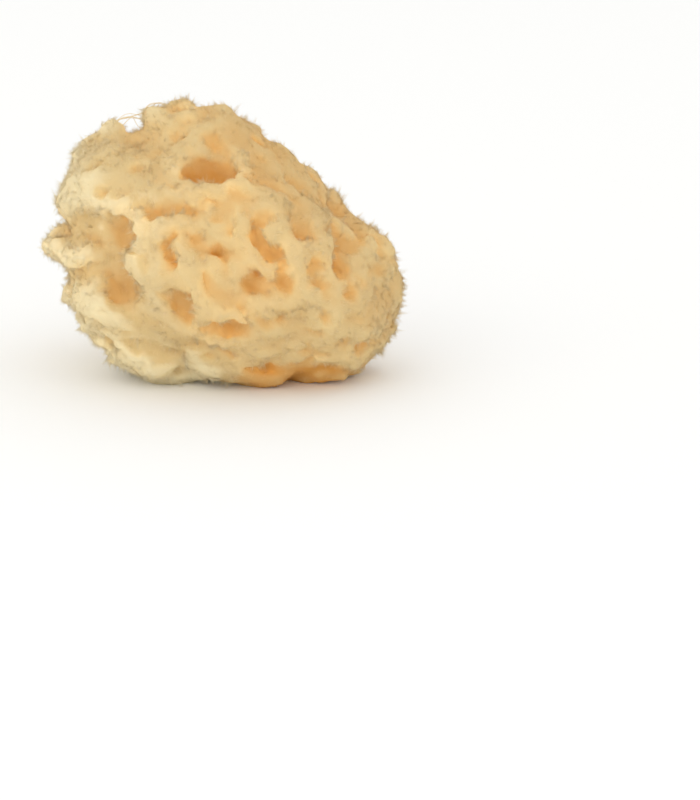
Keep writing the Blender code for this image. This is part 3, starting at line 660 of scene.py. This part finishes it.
def linear(hex_colour):
    """An sRGB hex colour as linear red, green, blue and alpha."""
    channels = [int(hex_colour[i : i + 2], 16) / 255 for i in (1, 3, 5)]
    return [c / 12.92 if c <= 0.04045 else ((c + 0.055) / 1.055) ** 2.4 for c in channels] + [1]


def add_node(tree, kind, settings, links):
    """One node, with its settings and its links: socket name to value or to another node's output."""
    node = tree.nodes.new(kind)
    for name, value in settings.items():
        setattr(node, name, value)
    for socket, value in links.items():
        if isinstance(value, bpy.types.NodeSocket):
            tree.links.new(value, node.inputs[socket])
        else:
            node.inputs[socket].default_value = value
    return node


# Patches about 11 mm wide shift the colour a little. A grain of about 1 mm, with finer steps down to the width of
# a fibre, roughens it.
PATCHES_A_METRE = 90.0
PATCH_SHIFT = 1.0
GRAINS_A_METRE = 900.0
GRAIN_RELIEF = 0.4
GRAIN_STRENGTH = 0.3
# The painted shading runs from full painted light at the first to full painted shade at the second.
PAINTED_LIGHT_DEPTH = -4
SHELTERED_DEPTH = 9.5
GLOW_DISTANCE = 15


def spongin(name, colours, subsurface):
    """Dried spongin, a horny fibre net: matt, painted pale cream where lit, painted amber where shade falls. Light
    goes some way into it.
    """
    material = bpy.data.materials.new(name)
    material.use_nodes = True
    tree = material.node_tree
    shader = tree.nodes["Principled BSDF"]
    depth = add_node(tree, "ShaderNodeAttribute", {"attribute_name": "painted_shading"}, {}).outputs["Fac"]
    place = add_node(tree, "ShaderNodeTexCoord", {}, {}).outputs["Object"]
    patches = add_node(tree, "ShaderNodeTexNoise", {}, {"Vector": place, "Scale": PATCHES_A_METRE, "Detail": 5.0})
    grain = add_node(tree, "ShaderNodeTexNoise", {}, {"Vector": place, "Scale": GRAINS_A_METRE, "Detail": 5.0})
    uneven = add_node(
        tree,
        "ShaderNodeMath",
        {"operation": "MULTIPLY_ADD"},
        {0: patches.outputs["Fac"], 1: 2 * PATCH_SHIFT, 2: -PATCH_SHIFT},
    )
    sheltered = add_node(tree, "ShaderNodeMath", {"operation": "ADD"}, {0: depth, 1: uneven.outputs[0]})
    shelter = add_node(
        tree,
        "ShaderNodeMapRange",
        {},
        {"Value": sheltered.outputs[0], "From Min": PAINTED_LIGHT_DEPTH, "From Max": SHELTERED_DEPTH},
    )
    colour = add_node(tree, "ShaderNodeValToRGB", {}, {"Fac": shelter.outputs["Result"]})
    ramp = colour.color_ramp
    ramp.interpolation = "EASE"
    while len(ramp.elements) < len(colours):
        ramp.elements.new(0.5)
    for element, (where, hex_colour) in zip(ramp.elements, colours):
        element.position = where
        element.color = linear(hex_colour)
    tree.links.new(colour.outputs["Color"], shader.inputs["Base Color"])
    bump = add_node(
        tree,
        "ShaderNodeBump",
        {},
        {"Height": grain.outputs["Fac"], "Strength": GRAIN_STRENGTH, "Distance": GRAIN_RELIEF * MM},
    )
    tree.links.new(bump.outputs["Normal"], shader.inputs["Normal"])
    shader.inputs["Roughness"].default_value = 0.95
    shader.inputs["Specular IOR Level"].default_value = 0.2
    shader.inputs["Subsurface Weight"].default_value = subsurface
    shader.subsurface_method = "BURLEY"
    shader.inputs["Subsurface Radius"].default_value = (1.0, 0.8, 0.6)
    shader.inputs["Subsurface Scale"].default_value = GLOW_DISTANCE * MM
    return material


# Each stop: how much painted shade, from painted light at 0 to the deepest painted shade at 1, then the colour.
SKIN_COLOURS = ((0.0, "#E6D6AC"), (0.22, "#D4BB88"), (0.6, "#D3AB6E"), (1.0, "#D39C52"))
body.data.materials.append(spongin("spongin_skin", SKIN_COLOURS, 1.0))
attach(body, "root")
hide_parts("sponge")


# THE FUZZ
# The free ends of the fibres, which stand out of the skin all over: longer and in tufts on the ridges, short
# in the hollows. They are spongin, as the skin is, and grow out of it.

FUZZ_PIECES = 5
FUZZ_SEED = 5
FUZZ_PAST = 1.8
FUZZ_ROOT = 0.3
FOOT_CLEAR = 0.05

# Each kind of fibre: how many, their lengths and radii, how far they stray, and how few grow in the hollows.
TUFTS = 9500
TUFT_FIBRES = 14
TUFT_HALF_WIDTH = 0.42
TUFT_LENGTHS = (1.0, 2.8)
TUFT_RADII = (0.02, 0.04)
TUFT_STRAY = 0.3
TUFT_SHY = 0.75
TUFT_DRAWN = 0.3
TUFT_TIP_STRAY = 0.1
SINGLE_FIBRES = 58000
SINGLE_LENGTHS = (0.5, 1.2)
SINGLE_RADII = (0.015, 0.03)
SINGLE_SHY = 0.4
BENT_FIBRES = 2500
BENT_LENGTHS = (1.8, 3.2)
BENT_RADII = (0.02, 0.035)
BENT_SHY = 0.95
BENT_TURN = 0.4
STRAY = 0.35

# Fewer grow where the skin faces straight forward. All lean with a flow that changes over a few millimetres, are
# longer in places, and are shorter where the skin is this sheltered.
WORN_IN_FRONT = 0.75
FLOW_SIZE = (3.0, 3.0, 3.0)
FLOW_LEAN = 0.9
LONGER_SIZE = (1.6, 1.6, 1.6)
LONGER = 0.8
SHORTER = 0.6
SHELTERED = 5
FLOW_SEED = 20
LONGER_SEED = 30

strands = np.random.default_rng(FUZZ_SEED)
body_points = corners_of(body)
body_faces = np.empty(3 * len(body.data.polygons), np.int32)
body.data.polygons.foreach_get("vertices", body_faces)
body_faces = body_faces.reshape(-1, 3)
corner = body_points[body_faces]
areas = np.linalg.norm(np.cross(corner[:, 1] - corner[:, 0], corner[:, 2] - corner[:, 0]), axis=1) / 2
flow = [lattice_noise(FLOW_SIZE, FLOW_SEED + k) for k in range(3)]
longer = lattice_noise(LONGER_SIZE, LONGER_SEED)


def roots(count, shy):
    """Where fibres leave the skin: place, way out, and how sheltered the skin is there."""
    depth = painted_shading[body_faces].mean(axis=1)
    odds = areas * (1 - shy * faded(depth, SHELTERED)) * (corner[:, :, 2].mean(axis=1) > FUZZ_ROOT)
    facing = np.clip(-body_normals[body_faces].mean(axis=1) @ np.array(SIGHT), 0, 1)
    odds *= 1 - WORN_IN_FRONT * facing**2
    chosen = strands.choice(len(areas), count, p=odds / odds.sum())
    share = strands.dirichlet((1, 1, 1), count)
    place = np.einsum("ij,ijk->ik", share, body_points[body_faces[chosen]])
    way = np.einsum("ij,ijk->ik", share, body_normals[body_faces[chosen]])
    level = np.einsum("ij,ij->i", share, painted_shading[body_faces[chosen]])
    return place, way / np.linalg.norm(way, axis=1)[:, None], level


def unit(v):
    """Each vector at a length of 1."""
    return v / (np.linalg.norm(v, axis=1)[:, None] + 1e-9)


def ways_out(way, level, home, length_range, stray):
    """Where fibres that leave the skin here point, and how long they are."""
    lean = np.stack([at_points(f, home) for f in flow], axis=1) * FLOW_LEAN
    way = unit(way + lean + strands.normal(0, stray, way.shape))
    length = strands.uniform(*length_range, len(way))
    length = length * (1 + LONGER * np.clip(at_points(longer, home), -1, 1))
    return way, length * (1 - SHORTER * faded(level, SHELTERED))


def spikes(root, way, length, radius, bent):
    """Points and faces of closed, tapered fibres, straight or with one bend."""
    count = len(root)
    side = unit(np.cross(way, strands.normal(0, 1, (count, 3))))
    other = np.cross(way, side)
    ring = []
    for angle in (0, 2 * math.pi / 3, 4 * math.pi / 3):
        ring.append(side * math.cos(angle) + other * math.sin(angle))
    ring = np.stack(ring, axis=1) * radius[:, None, None]
    rows = [(root - way * FUZZ_ROOT)[:, None, :] + ring]
    if bent:
        bend = unit(way + strands.normal(0, BENT_TURN, (count, 3)))
        middle = root + way * (0.5 * length)[:, None]
        rows.append(middle[:, None, :] + ring * 0.7)
        tip = middle + bend * (0.5 * length)[:, None]
        pattern = [[0, 2, 1], [0, 1, 4], [0, 4, 3], [1, 2, 5], [1, 5, 4], [2, 0, 3], [2, 3, 5]]
        pattern += [[3, 4, 6], [4, 5, 6], [5, 3, 6]]
    else:
        tip = root + way * length[:, None]
        pattern = [[0, 2, 1], [0, 1, 3], [1, 2, 3], [2, 0, 3]]
    rows.append(tip[:, None, :])
    points = np.concatenate(rows, axis=1)
    points = np.clip(points, solid_low - FUZZ_PAST, solid_high + FUZZ_PAST)
    points[:, :, 2] = np.maximum(points[:, :, 2], FOOT_CLEAR)
    return points, np.array(pattern)


def fibres(count, length_range, radius_range, bent, shy):
    """Fibres that each stand on their own."""
    place, out, level = roots(count, shy)
    way, length = ways_out(out, level, place - shift, length_range, STRAY)
    points, pattern = spikes(place, way, length, strands.uniform(*radius_range, count), bent)
    return points, pattern, level


def tufts(count, each, length_range, radius_range, shy):
    """Fibres in tufts, with their tips drawn together."""
    place, out, level = roots(count, shy)
    way, length = ways_out(out, level, place - shift, length_range, TUFT_STRAY)
    spread = strands.normal(0, TUFT_HALF_WIDTH, (count, each, 3))
    spread -= np.einsum("ijk,ik->ij", spread, out)[:, :, None] * out[:, None, :]
    root = place[:, None, :] + spread
    share = strands.uniform(0.55, 1, (count, each, 1))
    tip = place[:, None, :] + way[:, None, :] * length[:, None, None] * share + spread * TUFT_DRAWN
    tip += strands.normal(0, TUFT_TIP_STRAY, tip.shape)
    root, tip = root.reshape(-1, 3), tip.reshape(-1, 3)
    far = np.linalg.norm(tip - root, axis=1)
    points, pattern = spikes(root, unit(tip - root), far, strands.uniform(*radius_range, len(root)), False)
    return points, pattern, np.repeat(level, each)


tufted = tufts(TUFTS, TUFT_FIBRES, TUFT_LENGTHS, TUFT_RADII, TUFT_SHY)
single = fibres(SINGLE_FIBRES, SINGLE_LENGTHS, SINGLE_RADII, False, SINGLE_SHY)
bent = fibres(BENT_FIBRES, BENT_LENGTHS, BENT_RADII, True, BENT_SHY)

# The same spongin, painted a little paler: painted light on the free fibres, against the shade they cast on one
# another. Each stop: how much painted shade, then the colour.
FUZZ_COLOURS = ((0.0, "#F2E4C0"), (0.22, "#EAD4A6"), (0.6, "#E8C68C"), (1.0, "#E2B06A"))
fuzz_material = spongin("spongin_fuzz", FUZZ_COLOURS, 0.0)

# Each piece takes the fibres of one slice round the sponge.
for piece in range(FUZZ_PIECES):
    all_points = []
    all_faces = []
    all_levels = []
    start = 0
    for points, pattern, level in (tufted, single, bent):
        angle = np.arctan2(points[:, 0, 1], points[:, 0, 0])
        order = np.argsort(angle, kind="stable")
        part = np.array_split(order, FUZZ_PIECES)[piece]
        each = points.shape[1]
        all_points.append(points[part].reshape(-1, 3))
        first_points = start + each * np.arange(len(part))
        all_faces.append((pattern[None] + first_points[:, None, None]).reshape(-1, 3))
        all_levels.append(np.repeat(level[part], each))
        start += each * len(part)
    fuzz = mesh_object(f"fuzz_{piece + 1}", np.concatenate(all_points), np.concatenate(all_faces))
    attribute = fuzz.data.attributes.new("painted_shading", "FLOAT", "POINT")
    attribute.data.foreach_set("value", np.concatenate(all_levels).astype(np.float32))
    select_only(fuzz)
    bpy.ops.object.shade_smooth()
    fuzz.data.materials.append(fuzz_material)
    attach(fuzz, "root")


# THE THREADS ACROSS THE GAP
# A few loose fibres, pulled out of the skin, that still cross the notch between the knob and the crown. They
# are spongin, as the skin is, and both ends are grown into it.

# Each thread: its radius, how much nearer to the eye it is than the foot's middle, and its points across and up.
GAP_THREADS = {
    "over": (0.13, 11, ((-34.6, 73.6), (-32.0, 77.2), (-29.8, 77.6), (-27.4, 78.0), (-24.0, 76.6))),
    "over_loose": (0.08, 12, ((-34.0, 74.6), (-31.8, 77.4), (-28.8, 79.4), (-26.4, 78.2), (-23.6, 77.8))),
    "over_back": (0.1, 10, ((-35.4, 74.0), (-32.8, 77.4), (-30.0, 76.6), (-27.9, 78.2), (-24.4, 78.8))),
    "over_kink": (0.07, 11.5, ((-34.8, 74.4), (-32.2, 76.2), (-30.4, 78.2), (-27.2, 77.0), (-24.2, 77.4))),
    "across": (0.1, 11, ((-34.0, 72.2), (-31.4, 74.0), (-29.4, 76.8), (-26.9, 78.6), (-24.2, 78.8))),
    "down": (0.08, 11, ((-27.9, 78.2), (-26.6, 76.6), (-26.8, 75.0), (-24.4, 73.6))),
    "high": (0.11, 11, ((-24.6, 79.0), (-23.0, 81.4), (-20.8, 81.8), (-18.6, 82.2), (-16.6, 80.2))),
    "high_loose": (0.07, 12, ((-25.0, 78.4), (-23.4, 81.0), (-21.6, 82.6), (-18.0, 81.6), (-16.0, 81.0))),
    "high_kink": (0.08, 10.5, ((-24.2, 78.8), (-22.0, 80.6), (-20.4, 82.6), (-17.8, 82.2), (-16.2, 80.4))),
}

thread_curve = bpy.data.curves.new("gap_threads", "CURVE")
thread_curve.dimensions = "3D"
thread_curve.bevel_depth = MM
thread_curve.bevel_resolution = 1
thread_curve.resolution_u = 8
thread_curve.use_fill_caps = True
for radius, nearer, course in GAP_THREADS.values():
    spline = thread_curve.splines.new("NURBS")
    spline.points.add(len(course) - 1)
    spline.order_u = 4
    spline.use_endpoint_u = True
    for point, (across, up) in zip(spline.points, course):
        place = Vector((across, 0, 0)) + SIGHT_UP * up - SIGHT * nearer
        point.co = (*(place * MM), 1)
        point.radius = radius
gap_threads = bpy.data.objects.new("gap_threads", thread_curve)
bpy.context.scene.collection.objects.link(gap_threads)
select_only(gap_threads)
bpy.ops.object.convert(target="MESH")
bpy.ops.object.shade_smooth()
gap_threads.data.attributes.new("painted_shading", "FLOAT", "POINT")
gap_threads.data.materials.append(fuzz_material)
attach(gap_threads, "root")


# THE STUDIO
# A white floor under a wide soft light, as for a catalogue picture.

FLOOR_WIDTH = 8
bpy.ops.object.select_all(action="DESELECT")
bpy.ops.mesh.primitive_plane_add(size=FLOOR_WIDTH)
floor = bpy.context.object
floor.name = "floor"
floor_material = bpy.data.materials.new("white_sweep")
floor_material.use_nodes = True
floor_shader = floor_material.node_tree.nodes["Principled BSDF"]
floor_shader.inputs["Base Color"].default_value = linear("#FCFCFA")
floor_shader.inputs["Roughness"].default_value = 0.9
floor.data.materials.append(floor_material)

world = bpy.data.worlds.new("studio_air")
bpy.context.scene.world = world
world.use_nodes = True
world.node_tree.nodes["Background"].inputs["Color"].default_value = linear("#FFFFFF")
world.node_tree.nodes["Background"].inputs["Strength"].default_value = 1.0

LIT_POINT = Vector((0, 0, 0.04))


def soft_light(name, place, width, power):
    """A large soft box at a place in metres, aimed at the sponge."""
    bpy.ops.object.light_add(type="AREA", location=place)
    light = bpy.context.object
    light.name = name
    light.data.shape = "SQUARE"
    light.data.size = width
    light.data.energy = power
    aim = LIT_POINT - Vector(place)
    light.rotation_euler = aim.to_track_quat("-Z", "Y").to_euler()


soft_light("key_light", (-0.9, -0.8, 0.3), 1.4, 3.4)
soft_light("fill_light", (-0.2, -1.2, 0.2), 1.4, 1.2)

# The camera stands where the eye of the sponge's section is, and is turned so that the sponge falls where the
# photograph has it.
PICTURE = (700, 800)
SPONGE_AT = (223.0, 240.3)
LENS = 100
SENSOR = 36

camera_data = bpy.data.cameras.new("camera")
camera = bpy.data.objects.new("camera", camera_data)
bpy.context.scene.collection.objects.link(camera)
bpy.context.scene.camera = camera
camera_data.lens = LENS
camera_data.sensor_width = SENSOR
camera_data.clip_end = 20
pixels_per_mm = LENS / SENSOR * max(PICTURE)
straight_on = Matrix((Vector((1, 0, 0)), SIGHT_UP, -SIGHT)).transposed()
to_sponge = Vector((SPONGE_AT[0] - PICTURE[0] / 2, PICTURE[1] / 2 - SPONGE_AT[1], -pixels_per_mm))
turned = to_sponge.rotation_difference(Vector((0, 0, -1))).to_matrix()
camera.matrix_world = Matrix.Translation(EYE * MM) @ (straight_on @ turned).to_4x4()

bpy.context.scene.view_settings.view_transform = "Standard"
